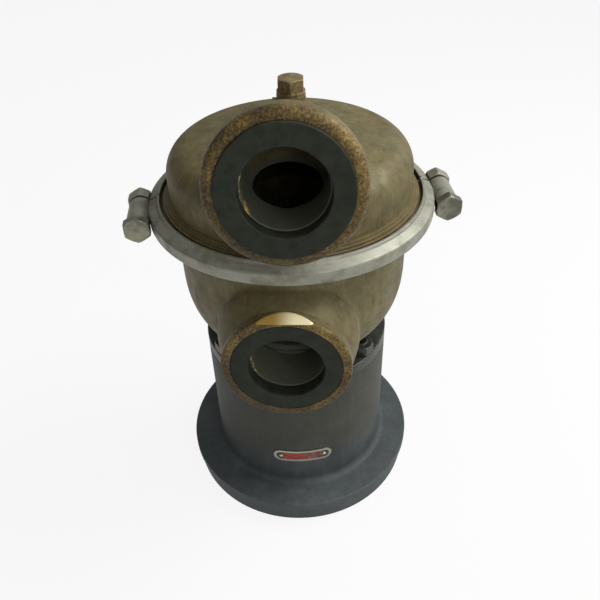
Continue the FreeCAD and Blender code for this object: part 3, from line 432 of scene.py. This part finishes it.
def housing_paint():
    """Dark enamel on cast iron, browner on the upper barrel, with painted shade on its left side
    and in its crevices.
    """
    f = Finish("housing_paint")
    clouds = f.noise(30, 5, 0.6, distortion=0.4)
    streaks = f.noise(1, 5, 0.65, vector=f.stretched(210, 210, 14))
    fine = f.noise(800, 3, 0.6)
    share = f.weighted((clouds, 0.6), (streaks, 0.4))
    cool = f.ramp(share, [(0.34, srgb(52, 57, 58)), (0.5, srgb(62, 67, 68)),
                          (0.66, srgb(73, 79, 80))])
    warm = f.ramp(share, [(0.34, srgb(44, 43, 36)), (0.5, srgb(56, 56, 49)),
                          (0.66, srgb(69, 69, 61))])
    colour = f.mix(f.step(f.axis("Z"), barrel_low_z, barrel_high_z), cool, warm)
    # Painted shade: the barrel is drawn darker on its left side.
    painted_shade_left = f.times(f.step(f.axis("X"), 0.01, -0.06), f.step(f.axis("Z"), 0.02, 0.05))
    colour = f.tint(colour, painted_shade_left, 0.45, srgb(30, 31, 28))
    rust = f.times(f.step(f.noise(110, 5, 0.7), 0.58, 0.72), f.step(f.axis("Z"), 0.03, 0.12))
    colour = f.tint(colour, rust, 0.5, srgb(88, 68, 44))
    # Painted shade: the paint is drawn darker in crevices and corners.
    crevice_shade = f.step(f.crevices(0.01), 0.3, 0.8)
    colour = f.tint(colour, crevice_shade, 0.7, srgb(30, 30, 28))
    worn = f.times(f.edges(0.001), f.step(f.noise(160, 4, 0.6), 0.42, 0.6))
    colour = f.tint(colour, worn, 0.8, srgb(122, 124, 120))
    roughness = f.span(share, 0.35, 0.65, 0.56, 0.68)
    height = f.math("ADD", fine, f.times(clouds, 1.5))
    return f.finish(colour, roughness, 0.0, f.bump(height, 0.25, 0.0005, f.rounded(0.0009)),
                    gloss=0.35)


def brushed_band():
    """Stainless band, brushed along its length, with dull brown patches, painted highlights on its
    edges and painted shade in its crevices.
    """
    f = Finish("brushed_band")
    lines = f.noise(1, 3, 0.7, vector=f.stretched(60, 60, 2600))
    patches = f.noise(75, 5, 0.65)
    colour = f.mix(lines, srgb(120, 120, 107), srgb(156, 156, 142))
    stain = f.step(patches, 0.46, 0.66)
    colour = f.tint(colour, stain, 0.6, srgb(104, 98, 78))
    # Painted highlight: every edge of the band is drawn near white.
    colour = f.tint(colour, f.edges(0.0011), 0.55, srgb(212, 212, 198))
    # Painted shade: the band is drawn darker in crevices and corners.
    crevice_shade = f.step(f.crevices(0.005), 0.25, 0.7)
    colour = f.tint(colour, crevice_shade, 0.8, srgb(40, 38, 30))
    roughness = f.span(patches, 0.35, 0.65, 0.42, 0.56)
    return f.finish(colour, roughness, 0.4, f.bump(lines, 0.12, 0.0002, f.rounded(0.0008)))


def rubber(name, dark, light, rough):
    """Moulded rubber with a slight bloom and painted highlights on its edges."""
    f = Finish(name)
    bloom = f.noise(120, 4, 0.6)
    fine = f.noise(1400, 2, 0.5)
    colour = f.mix(f.step(bloom, 0.35, 0.65), dark, light)
    # Painted highlight: the rubber's edges are drawn lighter.
    colour = f.tint(colour, f.edges(0.001), 0.5, srgb(62, 64, 54))
    normal = f.bump(fine, 0.25, 0.0002, f.rounded(0.0009))
    roughness = f.span(bloom, 0.35, 0.65, rough, rough + 0.12)
    return f.finish(colour, roughness, 0.0, normal, gloss=0.2)


def label_plate():
    """Bare plate: a bright border round a red field that is worn at one end."""
    f = Finish("label_plate")
    angle = f.math("SUBTRACT", f.turn(), math.radians(plate_turn))
    across = f.times(angle, plate_r)
    straight = plate_half_length - plate_half_height
    beyond = f.math("MAXIMUM", f.math("SUBTRACT", f.math("ABSOLUTE", across), straight), 0.0)
    up = f.math("SUBTRACT", f.axis("Z"), plate_z)
    reach = f.math("SQRT", f.math("ADD", f.times(beyond, beyond), f.times(up, up)))
    edge = plate_half_height - plate_border
    border = f.step(reach, edge, edge + sharp_fade)
    wear = f.noise(240, 5, 0.7)
    red = f.mix(f.step(wear, 0.35, 0.65), srgb(112, 38, 26), srgb(158, 58, 38))
    dull = f.mix(f.step(wear, 0.4, 0.6), srgb(72, 36, 34), srgb(132, 78, 72))
    field = f.mix(f.step(across, plate_dull_from, plate_dull_from + 0.003), red, dull)
    ends = f.step(f.math("ABSOLUTE", across), plate_dark_from, plate_dark_from + 0.0015)
    field = f.mix(ends, field, srgb(52, 44, 36))
    colour = f.mix(border, field, f.mix(wear, srgb(132, 134, 118), srgb(184, 186, 172)))
    roughness = f.lerp(border, 0.5, 0.3)
    height = f.math("ADD", border, f.times(wear, 0.15))
    return f.finish(colour, roughness, f.lerp(border, 0.0, 0.9), f.bump(height, 0.5, 0.0004))


def threaded(name, dark, light, axis_name, pitch, core_share):
    """Worn plated steel with thread lines where core_share is 1, and painted shade in its crevices
    and thread grooves.
    """
    f = Finish(name)
    fine = f.noise(650, 3, 0.6)
    large = f.noise(90, 4, 0.6)
    colour = f.mix(f.step(large, 0.36, 0.64), dark, light)
    # Painted shade: the steel is drawn darker in crevices and corners.
    crevice_shade = f.step(f.crevices(0.004), 0.3, 0.85)
    colour = f.tint(colour, crevice_shade, 0.7, srgb(40, 34, 24))
    colour = f.tint(colour, f.edges(0.0009), 0.8, srgb(176, 172, 152))
    wave = f.math("SINE", f.times(f.axis(axis_name), 2 * math.pi / pitch))
    share = core_share(f)
    # Painted shade: the thread grooves are drawn dark brown.
    colour = f.mix(f.times(share, f.step(wave, 0.2, -0.8)), colour, srgb(46, 42, 34))
    height = f.math("ADD", f.times(fine, 0.12), f.times(share, wave))
    return f.finish(colour, f.span(large, 0.35, 0.65, 0.3, 0.46), 0.8,
                    f.bump(height, 0.6, 0.0004, f.rounded(0.0007)))


def bolt_thread_share(f):
    """1 on the threaded ends of the two clamp bolts."""
    along = f.vector_math("DOT_PRODUCT", f.place, tuple(bolt_axis))
    return f.step(along, bolt_thread_start, bolt_thread_start + 0.0002)


def stud_thread_share(f):
    """1 on the ends of the foot studs that stand above the nuts."""
    return f.step(f.axis("Z"), stud_thread_z, stud_thread_z + sharp_fade)


steel_dark = srgb(86, 87, 82)
steel_light = srgb(136, 136, 126)
finishes = {
    "cover": cast_bronze("cover_bronze", inlet_rim_share, inlet_face, inlet_axis,
                         cover_hollow_share, ledge_share=ledge_share),
    "bowl": cast_bronze("bowl_bronze", outlet_rim_share, outlet_face, outlet_axis,
                        bowl_hollow_share, polish_share=outlet_flat_share),
    "housing": housing_paint(),
    "band": brushed_band(),
    "seal_rubber": rubber("seal_rubber", srgb(31, 34, 27), srgb(43, 46, 37), 0.66),
    "black_rubber": rubber("black_rubber", srgb(22, 22, 22), srgb(38, 38, 36), 0.5),
    "plate": label_plate(),
    "bolt": threaded("clamp_bolt", srgb(96, 96, 84), srgb(140, 138, 120), "Y", thread_pitch,
                     bolt_thread_share),
    "stud": threaded("foot_stud", srgb(58, 57, 52), srgb(92, 90, 82), "Z", thread_pitch,
                     stud_thread_share),
    "dark_steel": plain_metal("dark_steel", srgb(46, 47, 43), srgb(76, 76, 70), 0.6, 0.36, 0.5,
                              edge=srgb(150, 148, 132)),
    "rivet": plain_metal("rivet_metal", srgb(170, 164, 146), srgb(214, 208, 190), 0.9, 0.2, 0.32),
    "plug": plain_metal("plug_brass", srgb(84, 66, 38), srgb(134, 118, 78), 0.3, 0.46, 0.6,
                        grain=420, edge=srgb(186, 168, 112)),
    "copper": plain_metal("copper", srgb(92, 74, 50), srgb(126, 102, 70), 0.5, 0.4, 0.54),
    "bronze": plain_metal("wheel_bronze", srgb(62, 54, 34), srgb(96, 82, 50), 0.5, 0.4, 0.56,
                          grain=400, edge=srgb(132, 114, 72)),
    "bearing_steel": plain_metal("bearing_steel", srgb(150, 150, 148), srgb(196, 196, 194), 1.0,
                                 0.14, 0.24),
    "steel": plain_metal("shaft_steel", steel_dark, steel_light, 0.95, 0.24, 0.38,
                         edge=srgb(180, 180, 172)),
    "stainless": plain_metal("stainless", srgb(140, 140, 134), srgb(186, 186, 178), 0.95, 0.2,
                             0.32),
    "brass": plain_metal("cage_brass", srgb(150, 122, 60), srgb(196, 164, 88), 0.95, 0.22, 0.36),
    "carbon": plain_metal("carbon", srgb(24, 24, 25), srgb(44, 44, 45), 0.1, 0.3, 0.42),
}

finish_of = {
    "bearing_housing": "housing", "foot_ring_front": "dark_steel",
    "foot_ring_rear": "dark_steel", "foot_studs": "stud", "foot_nuts": "dark_steel",
    "pump_bowl": "bowl", "outlet_seal_ring": "seal_rubber", "suction_cover": "cover",
    "inlet_seal_ring": "seal_rubber", "cover_o_ring": "black_rubber", "priming_plug": "plug",
    "plug_washer": "copper", "band_clamp_front": "band", "band_clamp_rear": "band",
    "band_bolt_left": "bolt", "band_bolt_right": "bolt",
    "nameplate": "plate", "nameplate_rivets": "rivet",
    "drive_bearing_outer_ring": "bearing_steel", "drive_bearing_inner_ring": "bearing_steel",
    "drive_bearing_balls": "bearing_steel", "drive_bearing_cage": "brass",
    "top_bearing_outer_ring": "bearing_steel", "top_bearing_inner_ring": "bearing_steel",
    "top_bearing_balls": "bearing_steel", "top_bearing_cage": "brass",
    "housing_circlip": "dark_steel", "shaft_circlip": "dark_steel", "oil_seal": "black_rubber",
    "shaft": "steel", "slinger": "black_rubber", "impeller": "bronze",
    "impeller_key": "stainless", "impeller_washer": "stainless", "impeller_nut": "stainless",
    "wear_ring": "bronze", "seal_seat": "carbon", "seal_cup": "stainless",
    "seal_head": "carbon", "seal_spring": "stainless",
}

for node_name, node_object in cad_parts.items():
    node_object.data.materials.clear()
    node_object.data.materials.append(finishes[finish_of[node_name]])


def make_floor():
    """Pale floor that shows as the background and keeps the part's shadow."""
    half = floor_half
    mesh = bpy.data.meshes.new("floor")
    level = cad_box[0].z - floor_drop
    mesh.from_pydata([(-half, -half, level), (half, -half, level), (half, half, level),
                      (-half, half, level)], [], [(0, 1, 2, 3)])
    floor = bpy.data.objects.new("floor", mesh)
    bpy.context.scene.collection.objects.link(floor)
    f = Finish("floor")
    f.finish((floor_grey, floor_grey, floor_grey, 1.0), 0.9, 0.0)
    rays = f.node("ShaderNodeLightPath")
    seen = f.math("MAXIMUM", rays.outputs["Is Camera Ray"], rays.outputs["Is Glossy Ray"])
    seen = f.math("MAXIMUM", seen, rays.outputs["Is Transmission Ray"])
    white = f.node("ShaderNodeEmission")
    white.inputs["Color"].default_value = (1.0, 1.0, 1.0, 1.0)
    white.inputs["Strength"].default_value = 1.0
    share = f.node("ShaderNodeMixShader")
    f.put(share.inputs[0], f.times(seen, floor_white_share))
    f.put(share.inputs[1], f.shader.outputs[0])
    f.put(share.inputs[2], white.outputs[0])
    f.put(f.tree.nodes["Material Output"].inputs["Surface"], share.outputs[0])
    mesh.materials.append(f.material)


def make_world():
    """Soft studio surround, brighter above and on the right."""
    world = bpy.data.worlds.new("studio")
    bpy.context.scene.world = world
    world.use_nodes = True
    nodes = world.node_tree.nodes
    links = world.node_tree.links
    place = nodes.new("ShaderNodeTexCoord").outputs["Generated"]
    parts = nodes.new("ShaderNodeSeparateXYZ")
    links.new(place, parts.inputs[0])
    right = nodes.new("ShaderNodeMath")
    right.operation = "MULTIPLY_ADD"
    links.new(parts.outputs["X"], right.inputs[0])
    right.inputs[1].default_value = world_right
    right.inputs[2].default_value = world_level
    high = nodes.new("ShaderNodeMath")
    high.operation = "MULTIPLY_ADD"
    links.new(parts.outputs["Z"], high.inputs[0])
    high.inputs[1].default_value = world_high
    links.new(right.outputs[0], high.inputs[2])
    colour = nodes.new("ShaderNodeValToRGB")
    colour.color_ramp.elements[0].position = 0.0
    colour.color_ramp.elements[0].color = world_dark
    colour.color_ramp.elements[1].position = 1.0
    colour.color_ramp.elements[1].color = world_bright
    links.new(high.outputs[0], colour.inputs[0])
    lit = nodes["Background"]
    links.new(colour.outputs[0], lit.inputs["Color"])
    lit.inputs["Strength"].default_value = world_strength


def make_lamp(name, place, target, width, height, power):
    """Rectangular soft light that points at a place on the part."""
    data = bpy.data.lights.new(name, "AREA")
    data.shape = "RECTANGLE"
    data.size = width
    data.size_y = height
    data.energy = power
    lamp = bpy.data.objects.new(name, data)
    lamp.location = place
    lamp.rotation_mode = "QUATERNION"
    lamp.rotation_quaternion = (Vector(target) - Vector(place)).to_track_quat("-Z", "Y")
    bpy.context.scene.collection.objects.link(lamp)


def make_camera():
    """Camera where the photograph was taken."""
    azimuth = math.radians(camera_azimuth)
    elevation = math.radians(camera_elevation)
    roll = math.radians(camera_roll)
    ahead = Vector((-math.sin(azimuth) * math.cos(elevation),
                    math.cos(azimuth) * math.cos(elevation), -math.sin(elevation)))
    level_right = ahead.cross(Vector((0, 0, 1))).normalized()
    level_up = level_right.cross(ahead)
    right = level_right * math.cos(roll) + level_up * math.sin(roll)
    up = level_up * math.cos(roll) - level_right * math.sin(roll)
    data = bpy.data.cameras.new("camera")
    data.lens = camera_lens
    data.sensor_width = camera_sensor
    data.sensor_fit = "HORIZONTAL"
    data.clip_start = 0.01
    data.clip_end = 20.0
    camera = bpy.data.objects.new("camera", data)
    rows = (right, up, -ahead)
    turn = Matrix([[rows[j][i] for j in range(3)] for i in range(3)])
    camera.matrix_world = Matrix.Translation(camera_place) @ turn.to_4x4()
    bpy.context.scene.collection.objects.link(camera)
    bpy.context.scene.camera = camera


make_floor()
make_world()
for lamp in lamps:
    make_lamp(*lamp)
make_camera()
bpy.context.scene.view_settings.view_transform = "Standard"
